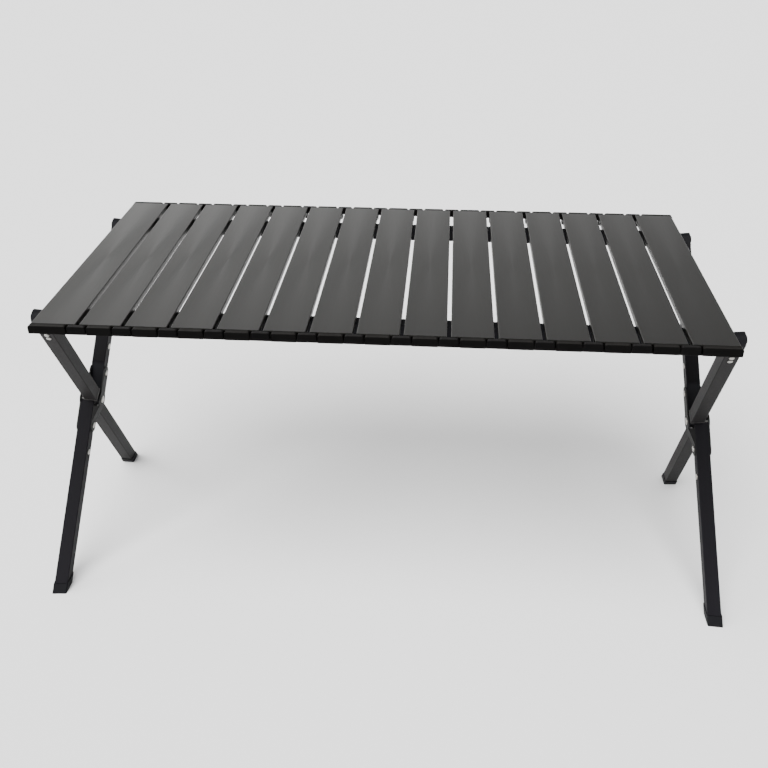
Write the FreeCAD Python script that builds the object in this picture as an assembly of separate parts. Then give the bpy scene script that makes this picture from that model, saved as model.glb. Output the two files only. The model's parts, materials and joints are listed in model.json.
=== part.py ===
import FreeCAD
import Part
import math
import os

# Folding picnic table: a roll-up top of hinged aluminium slats on a scissor frame.
# Millimetres. Origin on the floor under the middle of the top, X along the top, Y to the back, Z up.

os.makedirs("parts", exist_ok=True)

# ---- Driving dimensions ----
TOP_Z = 505.0
TOP_DEPTH = 465.0
PITCH = 60.0
SLAT_COUNT = 15
SLAT_GAP = 5.2
END_SLAT_EXTRA = 1.5
SKIN = 1.4
FLANGE_DEPTH = 7.5
FLANGE_WALL = 1.2
FLANGE_LIP = 5.0
SLAT_ROUND = 1.0
RIB_OFFSET = 9.0
RIB_THICK = 1.2
RIB_CLEAR = 3.0

CAP_DEPTH = 11.8
CAP_TOP_DROP = 0.3
CAP_BLOCK_HALF = 16.4
CAP_CORNER = 3.2
CAP_TOE = 1.0
CAP_EDGE = 0.7
CAP_SCOOP = 8.8
CAP_WALL_FRONT = 7.0
CAP_WALL_BACK = 20.0
CAP_WALL_DEPTH = 14.9
CAP_END_PROUD = 2.0
SLAT_SETBACK = 8.0
PIVOT_DROP = 6.0
PIVOT_OFFSET = 5.5
PIN_RADIUS = 2.2
PIN_FIT = 0.08
PIN_END_GAP = 0.3

LINK_REACH = 6.7
LINK_RISE = 5.7
LINK_FRONT = 0.5
LINK_BACK = 6.5
LINK_SKIN = 1.5

RAIL_SIZE = 20.0
RAIL_WALL = 1.5
RAIL_Y = 171.0
RAIL_Z = 486.0
RAIL_HALF_LENGTH = 440.0
REST_PAD_RISE = 1.2
REST_PAD_LENGTH = 18.0
REST_PAD_REACH = 8.0
REST_PAD_INSET = 2.0
RAIL_CORNER = 1.5
RAIL_PLUG = 25.0
RAIL_END_REACH = 26.0

LEG_TOP_X = 466.0
LEG_FOOT_X = 513.0
LEG_FOOT_Y = 181.0
LEG_SIZE = 21.0
LEG_SIZE_A = 20.4
LEG_WALL = 1.5
LEG_CORNER = 1.2
TONGUE = 20.0
LEG_TOP_GAP = 12.0
UPPER_SHIFT = -4.0
LOWER_SHIFT = 4.0
HUB_UP = 18.0
HUB_DOWN = 13.0
HUB_RADIUS = 9.4
HUB_NECK = 8.5
TUBE_MITRE = (0.0, 62.0)
HINGE_PIN_RADIUS = 3.0
HINGE_FIT = 0.06
HINGE_PIN_TAIL = 6.0
HINGE_HEAD_RADIUS = 6.5
HINGE_HEAD_RISE = 2.2
HINGE_HEAD_ROUND = 1.5
HEAD_RADIUS = 10.6
RUN_GAP = 0.3

PLATE_THICK = 2.0
PLATE_WIDTH = 20.0
PLATE_REACH = 55.0
PLATE_BOSS = 14.0
PLATE_STEP = (12.0, 36.0)
PLATE_RIVET = 44.0
TUBE_RIVET = 88.0
RIVET_RADIUS = 2.4
RIVET_FIT = 0.05
RIVET_HEAD = 4.6
RIVET_HEAD_RISE = 1.6
RIVET_ROUND = 1.3
PIVOT_HEAD = 5.8

FOOT_CAP_TOP = 13.0
FOOT_CAP_FLOOR = 3.0
FOOT_CAP_WALL = 1.1
FOOT_CAP_ROUND = 2.0

# Lengths closer than SAME count as equal. SPARE, REACH and FLOOR_HALF only oversize cutting shapes.
SAME = 0.01
OVERCUT = 1.0
REACH = 30.0
SPARE = 40.0
FLOOR_HALF = 700.0

PIVOT_Z = TOP_Z - PIVOT_DROP
HALF_DEPTH = TOP_DEPTH / 2.0
SPLAY = math.atan2(LEG_FOOT_X - LEG_TOP_X, RAIL_Z)
PLANE_DROP = RAIL_Z / math.cos(SPLAY)
LEG_ANGLE = math.atan2(RAIL_Y + LEG_FOOT_Y, PLANE_DROP)
UPPER_LENGTH = RAIL_Y / math.sin(LEG_ANGLE)
LEG_LENGTH = (RAIL_Y + LEG_FOOT_Y) / math.sin(LEG_ANGLE)
BRACKET_FLAT = LEG_SIZE / 2.0 + LOWER_SHIFT
BRACKET_STEP = LEG_SIZE / 2.0 + UPPER_SHIFT


# ---- Helpers ----
def vec(x, y, z):
    return FreeCAD.Vector(x, y, z)


def box(x0, x1, y0, y1, z0, z1):
    return Part.makeBox(x1 - x0, y1 - y0, z1 - z0, vec(x0, y0, z0))


def rod(radius, start, end):
    along = end.sub(start)
    return Part.makeCylinder(radius, along.Length, start, along)


def fuse(shapes):
    result = shapes[0]
    for shape in shapes[1:]:
        result = result.fuse(shape)
    return result.removeSplitter()


def save(name, shapes):
    result = shapes[0] if len(shapes) == 1 else Part.makeCompound(shapes)
    result.exportStep("parts/" + name + ".step")


def mirror_y(shape):
    return shape.mirror(vec(0, 0, 0), vec(0, 1, 0))


# ---- Roll-up top ----
def slat_edges(number):
    centre = (number - (SLAT_COUNT + 1) / 2.0) * PITCH
    left = centre - PITCH / 2.0 + SLAT_GAP / 2.0
    right = centre + PITCH / 2.0 - SLAT_GAP / 2.0
    if number == 1:
        left = centre - PITCH / 2.0 - END_SLAT_EXTRA
    if number == SLAT_COUNT:
        right = centre + PITCH / 2.0 + END_SLAT_EXTRA
    return left, centre, right


def slat(number):
    left, centre, right = slat_edges(number)
    skin_end = HALF_DEPTH - SLAT_SETBACK
    flange_end = HALF_DEPTH - CAP_WALL_BACK
    skin = box(left, right, -skin_end, skin_end, TOP_Z - SKIN, TOP_Z)
    rounded = []
    for edge in skin.Edges:
        middle = edge.CenterOfMass
        on_side = min(abs(middle.x - left), abs(middle.x - right)) < SAME
        if on_side and abs(middle.z - TOP_Z) < SAME and abs(middle.y) < SAME:
            rounded.append(edge)
    skin = skin.makeFillet(SLAT_ROUND, rounded)
    low = TOP_Z - FLANGE_DEPTH
    pieces = [skin]
    for outer, inward in ((left, 1), (right, -1)):
        wall = sorted([outer, outer + inward * FLANGE_WALL])
        lip = sorted([outer, outer + inward * FLANGE_LIP])
        pieces.append(box(wall[0], wall[1], -flange_end, flange_end, low, TOP_Z - SKIN))
        pieces.append(box(lip[0], lip[1], -flange_end, flange_end, low, low + FLANGE_WALL))
    for offset in (-RIB_OFFSET, RIB_OFFSET):
        rib = centre + offset
        pieces.append(box(rib - RIB_THICK / 2.0, rib + RIB_THICK / 2.0, -flange_end, flange_end,
                          low + RIB_CLEAR, TOP_Z - SKIN))
    return fuse(pieces)


# A block with rounded shoulders and toes along Y and a softened outer rim.
def soft_block(x0, x1, front, back, z0, z1):
    block = box(x0, x1, front, back, z0, z1)
    middle = (front + back) / 2.0
    for height, radius in ((z1, CAP_CORNER), (z0, CAP_TOE)):
        along = []
        for edge in block.Edges:
            centre = edge.CenterOfMass
            full_length = abs(edge.Length - (back - front)) < SAME
            if full_length and abs(centre.z - height) < SAME and abs(centre.y - middle) < SAME:
                along.append(edge)
        block = block.makeFillet(radius, along)
    rim = [edge for edge in block.Edges if max(abs(vertex.Y - front) for vertex in edge.Vertexes) < SAME]
    return block.makeFillet(CAP_EDGE, rim)


# Each cap carries a hinge pin at each side. The scoop clears the link that turns on the left pin.
def end_cap(number):
    left, centre, right = slat_edges(number)
    block_left = centre - CAP_BLOCK_HALF
    block_right = centre + CAP_BLOCK_HALF
    if number == 1:
        block_left = left - CAP_END_PROUD
    if number == SLAT_COUNT:
        block_right = right + CAP_END_PROUD
    front = -HALF_DEPTH
    back = front + CAP_WALL_FRONT
    low = TOP_Z - CAP_DEPTH
    block = soft_block(block_left, block_right, front, back + OVERCUT, low, TOP_Z - CAP_TOP_DROP)
    seat = box(block_left - OVERCUT, block_right + OVERCUT, front + SLAT_SETBACK, front + CAP_WALL_BACK,
               TOP_Z - SKIN, TOP_Z + OVERCUT)
    block = block.cut(seat)
    wall = box(left, right, back, front + CAP_WALL_BACK, TOP_Z - CAP_WALL_DEPTH, TOP_Z - SKIN)
    pins = []
    for side in (-1, 1):
        if (number == 1 and side < 0) or (number == SLAT_COUNT and side > 0):
            continue
        x = centre + side * (PITCH / 2.0 - PIVOT_OFFSET)
        pin_front = vec(x, front + LINK_FRONT + LINK_SKIN + PIN_END_GAP, PIVOT_Z)
        pins.append(rod(PIN_RADIUS, pin_front, vec(x, back + OVERCUT, PIVOT_Z)))
        if side < 0:
            block = block.cut(rod(CAP_SCOOP, vec(x, front - OVERCUT, PIVOT_Z), vec(x, back, PIVOT_Z)))
    return fuse([block, wall] + pins)


def link(number):
    x = (number - SLAT_COUNT / 2.0) * PITCH
    front = -HALF_DEPTH + LINK_FRONT
    back = -HALF_DEPTH + LINK_BACK
    half_length = PIVOT_OFFSET + LINK_REACH
    low = PIVOT_Z - LINK_RISE
    plate = soft_block(x - half_length, x + half_length, front, back, low, PIVOT_Z + LINK_RISE)
    for side in (-1, 1):
        start = vec(x + side * PIVOT_OFFSET, front + LINK_SKIN, PIVOT_Z)
        end = vec(x + side * PIVOT_OFFSET, back, PIVOT_Z)
        plate = plate.cut(rod(PIN_RADIUS + PIN_FIT, start, end))
    return plate


for number in range(1, SLAT_COUNT + 1):
    save("slat_%02d" % number, [slat(number)])
    cap = end_cap(number)
    save("end_caps_%02d" % number, [cap, mirror_y(cap)])

for number in range(1, SLAT_COUNT):
    plate = link(number)
    save("links_%02d" % number, [plate, mirror_y(plate)])


# ---- Scissor frame ----
# Each side frame lies in a plane that leans outwards by SPLAY. In that plane u points
# outwards across the leg, w across the leg in the plane, v down along the leg.
def leg_placement(side, lean):
    normal = vec(side * math.cos(SPLAY), 0, math.sin(SPLAY))
    down = vec(side * math.sin(SPLAY), 0, -math.cos(SPLAY))
    along = down * math.cos(LEG_ANGLE) + vec(0, lean * math.sin(LEG_ANGLE), 0)
    across = along.cross(normal)
    top = vec(side * LEG_TOP_X, -lean * RAIL_Y, RAIL_Z)
    matrix = FreeCAD.Matrix(
        normal.x, across.x, along.x, top.x,
        normal.y, across.y, along.y, top.y,
        normal.z, across.z, along.z, top.z,
        0, 0, 0, 1)
    return FreeCAD.Placement(matrix)


def placed(shape, side, lean):
    copy = shape.copy()
    copy.Placement = leg_placement(side, lean).multiply(copy.Placement)
    return copy


def tube(half_u, shift, start, end):
    half_w = LEG_SIZE / 2.0
    outer = box(shift - half_u, shift + half_u, -half_w, half_w, start, end)
    edges = [edge for edge in outer.Edges if edge.Length > end - start - SAME]
    outer = outer.makeFillet(LEG_CORNER, edges)
    inner = box(shift - half_u + LEG_WALL, shift + half_u - LEG_WALL,
                -half_w + LEG_WALL, half_w - LEG_WALL, start, end)
    return outer.cut(inner)


def floor_slab(low, high):
    return box(-FLOOR_HALF, FLOOR_HALF, -FLOOR_HALF, FLOOR_HALF, low, high)


def cross_pin(radius, v):
    return rod(radius, vec(-REACH, 0, v), vec(REACH, 0, v))


def tongue(half_u, shift, start, end):
    reach_u = half_u - LEG_WALL
    reach_w = LEG_SIZE / 2.0 - LEG_WALL
    return box(shift - reach_u, shift + reach_u, -reach_w, reach_w, start, end)


def leg_head(half_u):
    inner = UPPER_SHIFT - half_u
    outer = UPPER_SHIFT + half_u
    disc = rod(HEAD_RADIUS, vec(inner, 0, 0), vec(outer, 0, 0))
    neck = box(inner, outer, -LEG_SIZE / 2.0, LEG_SIZE / 2.0, 0, LEG_TOP_GAP)
    head = fuse([disc, neck, tongue(half_u, UPPER_SHIFT, LEG_TOP_GAP, LEG_TOP_GAP + TONGUE)])
    return head.cut(cross_pin(HINGE_PIN_RADIUS + HINGE_FIT, 0))


def foot_cap(half_u, side, lean):
    outer_u = half_u + FOOT_CAP_WALL
    outer_w = LEG_SIZE / 2.0 + FOOT_CAP_WALL
    start = LEG_LENGTH - SPARE
    end = LEG_LENGTH + SPARE
    sleeve = box(LOWER_SHIFT - outer_u, LOWER_SHIFT + outer_u, -outer_w, outer_w, start, end)
    edges = [edge for edge in sleeve.Edges if edge.Length > end - start - SAME]
    sleeve = placed(sleeve.makeFillet(FOOT_CAP_ROUND, edges), side, lean)
    sleeve = sleeve.common(floor_slab(0, FOOT_CAP_TOP))
    outer = box(LOWER_SHIFT - half_u, LOWER_SHIFT + half_u, -LEG_SIZE / 2.0, LEG_SIZE / 2.0, start, end)
    edges = [edge for edge in outer.Edges if edge.Length > end - start - SAME]
    pocket = placed(outer.makeFillet(LEG_CORNER, edges), side, lean)
    return sleeve.cut(pocket.common(floor_slab(FOOT_CAP_FLOOR, FOOT_CAP_TOP + SPARE)))


def leg_a_tubes(side):
    half_u = LEG_SIZE_A / 2.0
    upper = placed(tube(half_u, UPPER_SHIFT, LEG_TOP_GAP, UPPER_LENGTH - HUB_UP), side, 1)
    lower = placed(tube(half_u, LOWER_SHIFT, UPPER_LENGTH + HUB_DOWN, LEG_LENGTH + SPARE), side, 1)
    return [upper, lower.cut(floor_slab(-SPARE, FOOT_CAP_FLOOR))]


# The hub steps leg A outwards: a neck on the inner side above the pivot, one on the outer side below.
def leg_a_hub():
    outer = LEG_SIZE_A / 2.0 + LOWER_SHIFT
    inner = LEG_SIZE / 2.0 - LOWER_SHIFT + RUN_GAP
    upper_end = UPPER_LENGTH - HUB_UP
    lower_end = UPPER_LENGTH + HUB_DOWN
    pieces = [
        tongue(LEG_SIZE_A / 2.0, UPPER_SHIFT, upper_end - TONGUE, upper_end),
        box(-outer, -inner, -HUB_NECK, HUB_NECK, upper_end, UPPER_LENGTH),
        rod(HUB_RADIUS, vec(-outer, 0, UPPER_LENGTH), vec(outer, 0, UPPER_LENGTH)),
        box(inner, outer, -HUB_NECK, HUB_NECK, UPPER_LENGTH, lower_end),
        tongue(LEG_SIZE_A / 2.0, LOWER_SHIFT, lower_end, lower_end + TONGUE)]
    return fuse(pieces).cut(cross_pin(HINGE_PIN_RADIUS + HINGE_FIT, UPPER_LENGTH))


# Leg B is cut back near the pivot along a slope, so that leg A can swing past.
def mitre(side, down):
    near, far = TUBE_MITRE
    half_w = LEG_SIZE / 2.0
    slope = (far - near) / LEG_SIZE
    low = UPPER_LENGTH + down * (near - slope * half_w)
    high = UPPER_LENGTH + down * (far + slope * half_w)
    front = side * down * LEG_SIZE
    beyond = UPPER_LENGTH - down * 2.0 * SPARE
    corners = [(front, low), (-front, high), (-front, beyond), (front, beyond), (front, low)]
    outline = Part.makePolygon([vec(-SPARE, w, v) for w, v in corners])
    return Part.Face(outline).extrude(vec(2.0 * SPARE, 0, 0))


def leg_b_tubes(side):
    half = LEG_SIZE / 2.0
    upper = tube(half, UPPER_SHIFT, LEG_TOP_GAP, UPPER_LENGTH).cut(mitre(side, -1))
    lower = tube(half, LOWER_SHIFT, UPPER_LENGTH, LEG_LENGTH + SPARE).cut(mitre(side, 1))
    for reach in (PLATE_RIVET, TUBE_RIVET):
        upper = upper.cut(cross_pin(RIVET_RADIUS + RIVET_FIT, UPPER_LENGTH - reach))
        lower = lower.cut(cross_pin(RIVET_RADIUS + RIVET_FIT, UPPER_LENGTH + reach))
    upper = placed(upper, side, -1)
    lower = placed(lower, side, -1).cut(floor_slab(-SPARE, FOOT_CAP_FLOOR))
    return [upper, lower]


# A bracket is flat against one tube of leg B and steps across to the face of the other tube.
def hinge_bracket(side, face, down):
    half_w = PLATE_WIDTH / 2.0
    flat_end = PLATE_REACH - half_w
    profile = [(BRACKET_FLAT, -flat_end), (BRACKET_FLAT + PLATE_THICK, -flat_end),
               (BRACKET_FLAT + PLATE_THICK, PLATE_STEP[0]), (BRACKET_STEP + PLATE_THICK, PLATE_STEP[1]),
               (BRACKET_STEP + PLATE_THICK, flat_end), (BRACKET_STEP, flat_end),
               (BRACKET_STEP, PLATE_STEP[0]), (BRACKET_FLAT, PLATE_STEP[0]), (BRACKET_FLAT, -flat_end)]
    points = [vec(face * u, -half_w, UPPER_LENGTH + down * v) for u, v in profile]
    pieces = [Part.Face(Part.makePolygon(points)).extrude(vec(0, PLATE_WIDTH, 0))]
    for radius, base, v in ((half_w, BRACKET_FLAT, -flat_end), (half_w, BRACKET_STEP, flat_end),
                            (PLATE_BOSS, BRACKET_FLAT, 0.0)):
        centre = UPPER_LENGTH + down * v
        pieces.append(rod(radius, vec(face * base, 0, centre), vec(face * (base + PLATE_THICK), 0, centre)))
    bracket = fuse(pieces).cut(cross_pin(HINGE_PIN_RADIUS + RIVET_FIT, UPPER_LENGTH))
    for sign in (-1, 1):
        bracket = bracket.cut(cross_pin(RIVET_RADIUS + RIVET_FIT, UPPER_LENGTH + sign * PLATE_RIVET))
    return placed(bracket, side, -1)


def rivet(radius, head, start, end, v):
    pieces = [rod(radius, vec(start, 0, v), vec(end, 0, v))]
    for base, sign in ((start, -1), (end, 1)):
        tip = base + sign * RIVET_HEAD_RISE
        flat = rod(head, vec(base, 0, v), vec(tip, 0, v))
        rim = [edge for edge in flat.Edges if abs(edge.CenterOfMass.x - tip) < SAME]
        pieces.append(flat.makeFillet(RIVET_ROUND, rim))
    return fuse(pieces)


def hinge_rivets(side):
    far = BRACKET_FLAT + PLATE_THICK
    near = BRACKET_STEP + PLATE_THICK
    rivets = [rivet(HINGE_PIN_RADIUS, PIVOT_HEAD, -far, far, UPPER_LENGTH)]
    for sign, shift, inner, outer in ((-1, UPPER_SHIFT, far, near), (1, LOWER_SHIFT, near, far)):
        low = shift - LEG_SIZE / 2.0
        high = shift + LEG_SIZE / 2.0
        rivets.append(rivet(RIVET_RADIUS, RIVET_HEAD, -inner, outer, UPPER_LENGTH + sign * PLATE_RIVET))
        rivets.append(rivet(RIVET_RADIUS, RIVET_HEAD, low, high, UPPER_LENGTH + sign * TUBE_RIVET))
    return [placed(shape, side, -1) for shape in rivets]


def rail(y):
    half = RAIL_SIZE / 2.0
    outer = box(-RAIL_HALF_LENGTH, RAIL_HALF_LENGTH, y - half, y + half, RAIL_Z - half, RAIL_Z + half)
    edges = [edge for edge in outer.Edges if edge.Length > 2 * RAIL_HALF_LENGTH - SAME]
    outer = outer.makeFillet(RAIL_CORNER, edges)
    inner_half = half - RAIL_WALL
    inner = box(-RAIL_HALF_LENGTH, RAIL_HALF_LENGTH, y - inner_half, y + inner_half,
                RAIL_Z - inner_half, RAIL_Z + inner_half)
    return outer.cut(inner)


def rail_end(side, lean, half_u):
    y = -lean * RAIL_Y
    half = RAIL_SIZE / 2.0
    inner_half = half - RAIL_WALL
    pad_half = half - REST_PAD_INSET
    pad_end = RAIL_HALF_LENGTH + REST_PAD_REACH
    inside = sorted([side * (RAIL_HALF_LENGTH - RAIL_PLUG), side * RAIL_HALF_LENGTH])
    outside = sorted([side * RAIL_HALF_LENGTH, side * (LEG_TOP_X + RAIL_END_REACH)])
    pad = sorted([side * (pad_end - REST_PAD_LENGTH), side * pad_end])
    plug = box(inside[0], inside[1], y - inner_half, y + inner_half, RAIL_Z - inner_half, RAIL_Z + inner_half)
    collar = box(outside[0], outside[1], y - half, y + half, RAIL_Z - half, RAIL_Z + half)
    rest = box(pad[0], pad[1], y - pad_half, y + pad_half, RAIL_Z + half, RAIL_Z + half + REST_PAD_RISE)
    inner = UPPER_SHIFT - half_u
    outer = UPPER_SHIFT + half_u + RUN_GAP
    tip = outer + HINGE_HEAD_RISE
    room = 2.0 * REACH
    away = placed(box(inner - RUN_GAP, room, -room, room, -room, room), side, lean)
    body = fuse([plug, collar, rest]).cut(away)
    pin = rod(HINGE_PIN_RADIUS, vec(inner - HINGE_PIN_TAIL, 0, 0), vec(tip - OVERCUT, 0, 0))
    head = rod(HINGE_HEAD_RADIUS, vec(outer, 0, 0), vec(tip, 0, 0))
    rim = [edge for edge in head.Edges if abs(edge.CenterOfMass.x - tip) < SAME]
    head = head.makeFillet(HINGE_HEAD_ROUND, rim)
    return fuse([body, placed(fuse([pin, head]), side, lean)])


HALF_A = LEG_SIZE_A / 2.0
HALF_B = LEG_SIZE / 2.0

for side, word in ((-1, "left"), (1, "right")):
    save("leg_a_tubes_" + word, leg_a_tubes(side))
    save("leg_a_fittings_" + word, [placed(leg_head(HALF_A), side, 1), placed(leg_a_hub(), side, 1),
                                    foot_cap(HALF_A, side, 1)])
    save("leg_b_tubes_" + word, leg_b_tubes(side))
    save("leg_b_fittings_" + word, [placed(leg_head(HALF_B), side, -1), foot_cap(HALF_B, side, -1)])
    save("hinge_brackets_" + word, [hinge_bracket(side, -1, 1), hinge_bracket(side, 1, -1)])
    save("hinge_rivets_" + word, hinge_rivets(side))

save("front_rail", [rail(-RAIL_Y)])
save("front_rail_ends", [rail_end(-1, 1, HALF_A), rail_end(1, 1, HALF_A)])
save("back_rail", [rail(RAIL_Y)])
save("back_rail_ends", [rail_end(-1, -1, HALF_B), rail_end(1, -1, HALF_B)])
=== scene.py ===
import json
import math

import bmesh
import bpy
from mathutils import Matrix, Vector


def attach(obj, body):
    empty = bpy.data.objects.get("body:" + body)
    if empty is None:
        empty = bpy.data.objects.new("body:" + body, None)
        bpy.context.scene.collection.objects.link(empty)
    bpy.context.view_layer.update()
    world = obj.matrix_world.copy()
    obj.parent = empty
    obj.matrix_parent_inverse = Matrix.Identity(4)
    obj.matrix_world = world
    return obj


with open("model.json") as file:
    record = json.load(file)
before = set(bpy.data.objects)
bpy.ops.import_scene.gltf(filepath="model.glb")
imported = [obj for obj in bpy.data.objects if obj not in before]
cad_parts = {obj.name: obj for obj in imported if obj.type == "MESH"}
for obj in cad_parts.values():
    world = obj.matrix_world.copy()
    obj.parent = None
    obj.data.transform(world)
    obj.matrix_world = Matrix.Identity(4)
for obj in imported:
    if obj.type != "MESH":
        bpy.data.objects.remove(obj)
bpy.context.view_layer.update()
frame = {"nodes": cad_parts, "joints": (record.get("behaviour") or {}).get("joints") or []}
joints = {joint["name"]: joint for joint in frame["joints"]}

# ---- Sizes in metres ----
MM = 0.001
TUBE_HALF = 10.5 * MM
TUBE_HALF_A = 10.2 * MM
TUBE_WALL = 1.5 * MM
UPPER_SHIFT = -4.0 * MM
LOWER_SHIFT = 4.0 * MM
BOLT_PLACES = (34.0 * MM, 44.0 * MM)
BOLT_RADIUS = 3.6 * MM
BOLT_RISE = 1.8 * MM
RIM_WIDTH = 2.6 * MM
RIM_RISE = 0.25 * MM
RIM_TUCK = 0.05 * MM
HUB_UP = 18.0 * MM
HUB_DOWN = 13.0 * MM
MITRE_FAR = 62.0 * MM
PLUG_INSET = 1.2 * MM
BEVEL_WIDTH = 0.35 * MM
BEVEL_ANGLE = 40.0
FLOOR_HALF = 12.0

# ---- Light and camera, metres and degrees ----
SUN_SPREAD = 50.0
SUNS = (("front_sun", 6.0, (0.25, 0.6, -1.0)), ("side_sun", 2.5, (1.0, 0.1, -0.35)))
WORLD_STRENGTH = 3.2
WORLD_SLOPE = (0.3, 0.0, 1.0)
WORLD_LEVELS = ((0.15, 1.0), (0.26, 0.45), (0.42, 0.12), (0.60, 0.085))
CAMERA_PLACE = (0.0807, -1.2652, 1.0567)
CAMERA_TILT = 59.08
CAMERA_TURN = 4.01
CAMERA_LENS = 43.63


# ---- Material building blocks ----
def new_material(name):
    material = bpy.data.materials.new(name)
    material.use_nodes = True
    tree = material.node_tree
    return material, tree, tree.nodes["Principled BSDF"]


def noise(tree, scale, stretch=(1, 1, 1), detail=4.0, roughness=0.55):
    coords = tree.nodes.new("ShaderNodeTexCoord")
    mapping = tree.nodes.new("ShaderNodeMapping")
    mapping.inputs["Scale"].default_value = stretch
    texture = tree.nodes.new("ShaderNodeTexNoise")
    texture.inputs["Scale"].default_value = scale
    texture.inputs["Detail"].default_value = detail
    texture.inputs["Roughness"].default_value = roughness
    tree.links.new(coords.outputs["Object"], mapping.inputs["Vector"])
    tree.links.new(mapping.outputs["Vector"], texture.inputs["Vector"])
    return texture.outputs["Fac"]


def ramp(tree, source, stops):
    node = tree.nodes.new("ShaderNodeValToRGB")
    elements = node.color_ramp.elements
    while len(elements) < len(stops):
        elements.new(0.5)
    for element, (position, colour) in zip(elements, stops):
        element.position = position
        element.color = (*colour, 1)
    tree.links.new(source, node.inputs["Fac"])
    return node.outputs["Color"]


def mix_colour(tree, factor, first, second, blend="MIX"):
    node = tree.nodes.new("ShaderNodeMix")
    node.data_type = "RGBA"
    node.blend_type = blend
    for socket, value in ((0, factor), (6, first), (7, second)):
        if hasattr(value, "is_output"):
            tree.links.new(value, node.inputs[socket])
        elif isinstance(value, tuple):
            node.inputs[socket].default_value = (*value, 1)
        else:
            node.inputs[socket].default_value = value
    return node.outputs[2]


def remap(tree, source, start, end, low=0.0, high=1.0):
    node = tree.nodes.new("ShaderNodeMapRange")
    node.inputs["From Min"].default_value = start
    node.inputs["From Max"].default_value = end
    node.inputs["To Min"].default_value = low
    node.inputs["To Max"].default_value = high
    tree.links.new(source, node.inputs["Value"])
    return node.outputs["Result"]


def bump(tree, shader, height, strength, distance):
    node = tree.nodes.new("ShaderNodeBump")
    node.inputs["Strength"].default_value = strength
    node.inputs["Distance"].default_value = distance
    tree.links.new(height, node.inputs["Height"])
    tree.links.new(node.outputs["Normal"], shader.inputs["Normal"])


# Mask on sharp convex edges: partly edge wear, partly a painted highlight where edges catch the light.
def edge_wear_and_highlight(tree, start, end):
    geometry = tree.nodes.new("ShaderNodeNewGeometry")
    return remap(tree, geometry.outputs["Pointiness"], start, end)


def upward(tree, start, end):
    """One on the faces that look up from the piece itself, used for a painted highlight on the top faces.
    """
    coords = tree.nodes.new("ShaderNodeTexCoord")
    split = tree.nodes.new("ShaderNodeSeparateXYZ")
    tree.links.new(coords.outputs["Normal"], split.inputs[0])
    return remap(tree, split.outputs["Z"], start, end)


def scaled(tone, factor):
    return tuple(value * factor for value in tone)


# ---- Materials ----
def anodised(name, tone):
    material, tree, shader = new_material(name)
    shader.inputs["Metallic"].default_value = 0.9
    shader.inputs["Anisotropic"].default_value = 0.35
    shader.inputs["Specular IOR Level"].default_value = 0.3
    grain = noise(tree, 16.0, (90, 1.4, 90), 5.0, 0.6)
    cloud = noise(tree, 5.0, (1, 1, 1), 2.0)
    colour = ramp(tree, grain, ((0.25, scaled(tone, 0.93)), (0.75, scaled(tone, 1.07))))
    shade = ramp(tree, cloud, ((0.3, (0.96, 0.96, 0.965)), (0.7, (1.03, 1.025, 1.015))))
    colour = mix_colour(tree, 1.0, colour, shade, "MULTIPLY")
    # Slat edges painted lighter: edge wear plus a painted edge highlight.
    colour = mix_colour(tree, edge_wear_and_highlight(tree, 0.53, 0.62), colour, scaled(tone, 1.8))
    tree.links.new(colour, shader.inputs["Base Color"])
    tree.links.new(remap(tree, grain, 0.2, 0.8, 0.39, 0.44), shader.inputs["Roughness"])
    bump(tree, shader, grain, 0.06, 0.0001)
    return material


def plastic(name, tone, gloss, specular=0.03, edge_wear_and_highlight_gain=4.0, top_highlight=1.0):
    material, tree, shader = new_material(name)
    shader.inputs["Specular IOR Level"].default_value = specular
    grain = noise(tree, 900.0, (1, 1, 1), 2.0)
    cloud = noise(tree, 22.0, (1, 1, 1), 3.0)
    colour = ramp(tree, cloud, ((0.3, scaled(tone, 0.75)), (0.75, scaled(tone, 1.35))))
    # Faces that look up are painted lighter: a painted highlight on the top faces.
    if top_highlight > 1.0:
        colour = mix_colour(tree, upward(tree, 0.45, 0.95), colour, scaled(tone, top_highlight))
    # Edges painted lighter: edge wear plus a painted edge highlight.
    colour = mix_colour(tree, edge_wear_and_highlight(tree, 0.53, 0.63), colour, scaled(tone, edge_wear_and_highlight_gain))
    tree.links.new(colour, shader.inputs["Base Color"])
    tree.links.new(remap(tree, grain, 0.2, 0.8, gloss - 0.06, gloss + 0.1), shader.inputs["Roughness"])
    bump(tree, shader, grain, 0.2, 0.0001)
    return material


def powder_coat(name, tone, gloss, specular=0.04):
    material, tree, shader = new_material(name)
    shader.inputs["Specular IOR Level"].default_value = specular
    peel = noise(tree, 420.0, (1, 1, 1), 2.0, 0.5)
    cloud = noise(tree, 9.0, (1, 1, 1), 3.0)
    colour = ramp(tree, cloud, ((0.3, scaled(tone, 0.82)), (0.75, scaled(tone, 1.2))))
    # Coat edges painted lighter: edge wear plus a painted edge highlight.
    colour = mix_colour(tree, edge_wear_and_highlight(tree, 0.54, 0.66), colour, scaled(tone, 3.0))
    tree.links.new(colour, shader.inputs["Base Color"])
    tree.links.new(remap(tree, peel, 0.2, 0.8, gloss - 0.05, gloss + 0.07), shader.inputs["Roughness"])
    bump(tree, shader, peel, 0.15, 0.0001)
    return material


def bare_metal(name, tone, gloss):
    material, tree, shader = new_material(name)
    shader.inputs["Metallic"].default_value = 1.0
    turning = noise(tree, 260.0, (1, 1, 1), 3.0)
    colour = ramp(tree, turning, ((0.3, scaled(tone, 0.8)), (0.7, tone)))
    tree.links.new(colour, shader.inputs["Base Color"])
    tree.links.new(remap(tree, turning, 0.2, 0.8, gloss - 0.06, gloss + 0.1), shader.inputs["Roughness"])
    bump(tree, shader, turning, 0.12, 0.0001)
    return material


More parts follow.
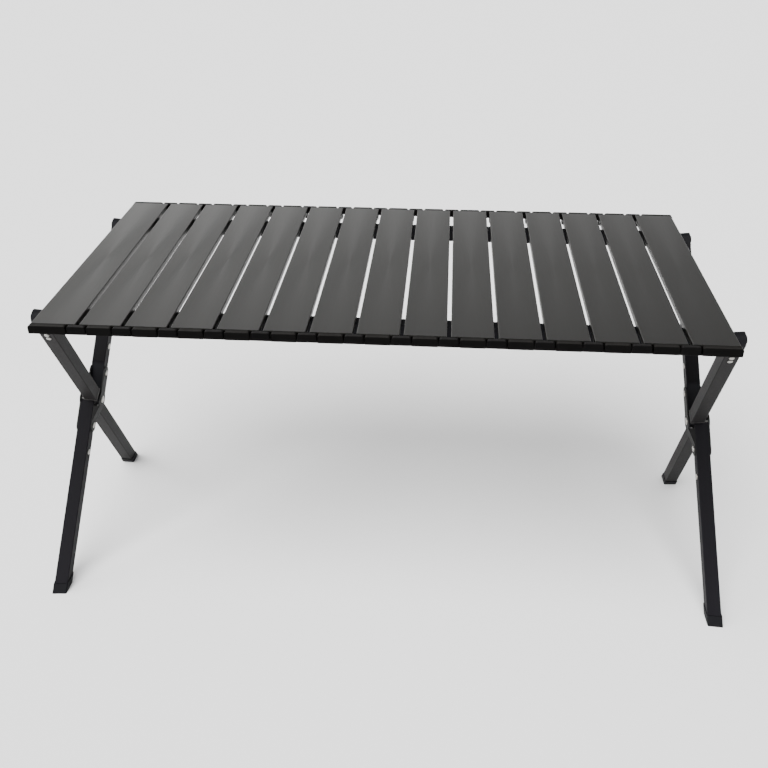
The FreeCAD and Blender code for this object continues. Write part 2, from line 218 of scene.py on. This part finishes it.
slat_metal = anodised("slat_anodised", (0.0242, 0.0237, 0.0223))
# Caps and links carry painted highlights on their top faces and edges.
cap_plastic = plastic("cap_black_plastic", (0.0015, 0.0014, 0.0013), 0.45, top_highlight=6.5)
link_plastic = plastic("link_black_plastic", (0.0015, 0.0014, 0.0014), 0.45, edge_wear_and_highlight_gain=8.0, top_highlight=4.5)
fitting_plastic = plastic("fitting_black_plastic", (0.002, 0.002, 0.0023), 0.5)
leg_paint = powder_coat("leg_powder_coat", (0.0026, 0.0024, 0.003), 0.5)
# Leg A gets a lighter copy of the legs' powder coat: painted light on leg A's faces.
leg_a_lit_paint = powder_coat("leg_a_powder_coat_lit", (0.0044, 0.0041, 0.0042), 0.5)
rail_paint = powder_coat("rail_powder_coat", (0.002, 0.002, 0.0025), 0.5)
bracket_paint = powder_coat("bracket_black_coat", (0.004, 0.004, 0.004), 0.45, 0.05)
rivet_steel = bare_metal("rivet_bright_steel", (0.34, 0.33, 0.31), 0.3)
# Rims at the tube ends: a real tube end, its bright tone a painted highlight where the end catches light
# from above.
rim_lit_metal = bare_metal("tube_end_rim_highlight", (0.075, 0.074, 0.071), 0.5)

NODE_MATERIALS = (
    ("slat", slat_metal),
    ("end_caps", cap_plastic),
    ("links", link_plastic),
    ("front_rail_ends", fitting_plastic),
    ("back_rail_ends", fitting_plastic),
    ("front_rail", rail_paint),
    ("back_rail", rail_paint),
    ("leg_a_fittings", fitting_plastic),
    ("leg_b_fittings", fitting_plastic),
    ("leg_a", leg_a_lit_paint),
    ("leg_b", leg_paint),
    ("hinge_brackets", bracket_paint),
    ("hinge_rivets", rivet_steel),
)
BEVELLED = ("front_rail_ends", "back_rail_ends", "leg_a_fittings", "leg_b_fittings", "hinge_brackets")


def set_material(piece, material):
    piece.data.materials.clear()
    piece.data.materials.append(material)


def soften_edges(piece):
    bevel = piece.modifiers.new("soft_edges", "BEVEL")
    bevel.width = BEVEL_WIDTH
    bevel.segments = 2
    bevel.limit_method = "ANGLE"
    bevel.angle_limit = math.radians(BEVEL_ANGLE)


for node, piece in frame["nodes"].items():
    for start, material in NODE_MATERIALS:
        if node.startswith(start):
            set_material(piece, material)
            break
    if node.startswith(BEVELLED):
        soften_edges(piece)


# ---- Detail pieces on the legs ----
def mesh_piece(name, shape, material, body, smooth=True):
    bmesh.ops.recalc_face_normals(shape, faces=shape.faces)
    mesh = bpy.data.meshes.new(name)
    shape.to_mesh(mesh)
    shape.free()
    if smooth:
        for face in mesh.polygons:
            face.use_smooth = True
    piece = bpy.data.objects.new(name, mesh)
    bpy.context.collection.objects.link(piece)
    set_material(piece, material)
    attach(piece, body)
    return piece


class Leg:
    """Local directions of one leg: out of its side frame, across towards the front, and down its length."""

    def __init__(self, word, letter):
        side = -1 if word == "left" else 1
        top = Vector(joints["fold_leg_a_" + word]["pos_m"])
        self.pivot = Vector(joints["fold_leg_b_" + word]["pos_m"])
        self.out = Vector(joints["fold_leg_a_" + word]["axis"])
        if self.out.x * side < 0:
            self.out.negate()
        if letter == "b":
            top.y = -top.y
        self.top = top
        self.down = (self.pivot - top).normalized()
        self.front = self.down.cross(self.out)
        if self.front.y > 0:
            self.front.negate()
        self.body = "leg_" + letter + "_" + word
        self.upper_length = (self.pivot - top).length

    def at(self, out, front, down):
        return self.top + self.out * out + self.front * front + self.down * down


def add_dome(shape, centre, normal, radius, rise, rings=4, around=20):
    side = normal.orthogonal().normalized()
    other = normal.cross(side)
    profile = [(radius, 0.0), (radius, rise * 0.35)]
    for step in range(1, rings):
        angle = math.pi / 2.0 * step / rings
        profile.append((radius * math.cos(angle), rise * (0.35 + 0.65 * math.sin(angle))))
    loops = []
    for reach, height in profile:
        loop = []
        for step in range(around):
            turn = 2.0 * math.pi * step / around
            spoke = side * math.cos(turn) + other * math.sin(turn)
            loop.append(shape.verts.new(centre + spoke * reach + normal * height))
        loops.append(loop)
    for low, high in zip(loops, loops[1:]):
        for step in range(around):
            following = (step + 1) % around
            shape.faces.new((low[step], low[following], high[following], high[step]))
    shape.faces.new(loops[0])
    shape.faces.new(loops[-1])


def add_ring(shape, leg, shift, half_out, half_front, start, end, rise):
    """A thin band round a square tube, open inside."""
    loops = []
    for down, reach in ((start, 0.0), (start, rise), (end, rise), (end, 0.0)):
        wide = half_out + reach
        deep = half_front + reach
        corners = ((-wide, -deep), (wide, -deep), (wide, deep), (-wide, deep))
        loops.append([shape.verts.new(leg.at(shift + out, front, down)) for out, front in corners])
    for low, high in zip(loops, loops[1:] + loops[:1]):
        for step in range(4):
            following = (step + 1) % 4
            shape.faces.new((low[step], low[following], high[following], high[step]))


def add_block(shape, leg, out, front, down):
    corners = []
    for place in down:
        square = ((out[0], front[0]), (out[1], front[0]), (out[1], front[1]), (out[0], front[1]))
        corners.append([shape.verts.new(leg.at(a, b, place)) for a, b in square])
    shape.faces.new(corners[0])
    shape.faces.new(corners[1])
    for step in range(4):
        following = (step + 1) % 4
        shape.faces.new((corners[0][step], corners[0][following], corners[1][following], corners[1][step]))


def add_mitre_plug(shape, leg, shift, sign):
    """A flat plug that closes the sloped open end of one half of leg B."""
    reach = TUBE_HALF - TUBE_WALL
    slope = MITRE_FAR / (2.0 * TUBE_HALF)
    layers = []
    for inset in (PLUG_INSET, 2.0 * PLUG_INSET):
        layer = []
        for out, front in ((-reach, reach), (reach, reach), (reach, -reach), (-reach, -reach)):
            down = (TUBE_HALF - front) * slope + inset * slope
            layer.append(shape.verts.new(leg.at(shift + out, sign * front, leg.upper_length + sign * down)))
        layers.append(layer)
    shape.faces.new(layers[0])
    shape.faces.new(layers[1])
    for step in range(4):
        following = (step + 1) % 4
        shape.faces.new((layers[0][step], layers[0][following], layers[1][following], layers[1][step]))


def leg_a_details(word):
    leg = Leg(word, "a")
    shape = bmesh.new()
    for place in BOLT_PLACES:
        add_dome(shape, leg.at(UPPER_SHIFT, TUBE_HALF, place), leg.front, BOLT_RADIUS, BOLT_RISE)
    mesh_piece("leg_a_bolts_" + word, shape, rivet_steel, leg.body)
    # The rims carry the painted highlight of the lit tube ends.
    shape = bmesh.new()
    start = leg.upper_length - HUB_UP - RIM_WIDTH
    add_ring(shape, leg, UPPER_SHIFT, TUBE_HALF_A, TUBE_HALF, start, start + RIM_WIDTH, RIM_RISE)
    start = leg.upper_length + HUB_DOWN
    add_ring(shape, leg, LOWER_SHIFT, TUBE_HALF_A - RIM_TUCK, TUBE_HALF, start, start + RIM_WIDTH, RIM_RISE)
    mesh_piece("leg_a_rims_" + word, shape, rim_lit_metal, leg.body, smooth=False)


def leg_b_details(word):
    leg = Leg(word, "b")
    # The rim carries the painted highlight of the lit tube end.
    shape = bmesh.new()
    start = leg.upper_length + RIM_RISE
    add_block(shape, leg, (LOWER_SHIFT - TUBE_HALF, LOWER_SHIFT + TUBE_HALF),
              (TUBE_HALF - RIM_RISE, TUBE_HALF + RIM_RISE), (start, start + RIM_WIDTH))
    mesh_piece("leg_b_rim_" + word, shape, rim_lit_metal, leg.body, smooth=False)
    shape = bmesh.new()
    for shift, sign in ((UPPER_SHIFT, -1), (LOWER_SHIFT, 1)):
        add_mitre_plug(shape, leg, shift, sign)
    mesh_piece("leg_b_plugs_" + word, shape, fitting_plastic, leg.body, smooth=False)


for word in ("left", "right"):
    leg_a_details(word)
    leg_b_details(word)


# ---- Stage, light and camera ----
def pale_floor():
    mesh = bpy.data.meshes.new("floor")
    shape = bmesh.new()
    bmesh.ops.create_grid(shape, x_segments=1, y_segments=1, size=FLOOR_HALF)
    shape.to_mesh(mesh)
    shape.free()
    floor = bpy.data.objects.new("floor", mesh)
    bpy.context.collection.objects.link(floor)
    material, tree, shader = new_material("floor_pale")
    shader.inputs["Base Color"].default_value = (0.9, 0.9, 0.9, 1)
    shader.inputs["Roughness"].default_value = 0.95
    shader.inputs["Specular IOR Level"].default_value = 0.1
    set_material(floor, material)


def studio_world():
    """White low down and dimmer overhead and to the right, as in a room lit from the back left."""
    world = bpy.data.worlds.new("studio")
    bpy.context.scene.world = world
    world.use_nodes = True
    tree = world.node_tree
    coords = tree.nodes.new("ShaderNodeTexCoord")
    slope = tree.nodes.new("ShaderNodeVectorMath")
    slope.operation = "DOT_PRODUCT"
    slope.inputs[1].default_value = WORLD_SLOPE
    tree.links.new(coords.outputs["Generated"], slope.inputs[0])
    stops = [(position, (level, level, level)) for position, level in WORLD_LEVELS]
    background = tree.nodes["Background"]
    tree.links.new(ramp(tree, slope.outputs["Value"], stops), background.inputs["Color"])
    background.inputs["Strength"].default_value = WORLD_STRENGTH


def add_sun(name, energy, aim):
    data = bpy.data.lights.new(name, "SUN")
    data.energy = energy
    data.angle = math.radians(SUN_SPREAD)
    sun = bpy.data.objects.new(name, data)
    bpy.context.collection.objects.link(sun)
    sun.rotation_euler = Vector(aim).to_track_quat("-Z", "Y").to_euler()


def add_camera():
    data = bpy.data.cameras.new("camera")
    data.sensor_width = 36.0
    data.lens = CAMERA_LENS
    camera = bpy.data.objects.new("camera", data)
    bpy.context.collection.objects.link(camera)
    camera.location = CAMERA_PLACE
    camera.rotation_euler = (math.radians(CAMERA_TILT), 0.0, math.radians(CAMERA_TURN))
    bpy.context.scene.camera = camera


pale_floor()
studio_world()
for name, energy, aim in SUNS:
    add_sun(name, energy, aim)
add_camera()
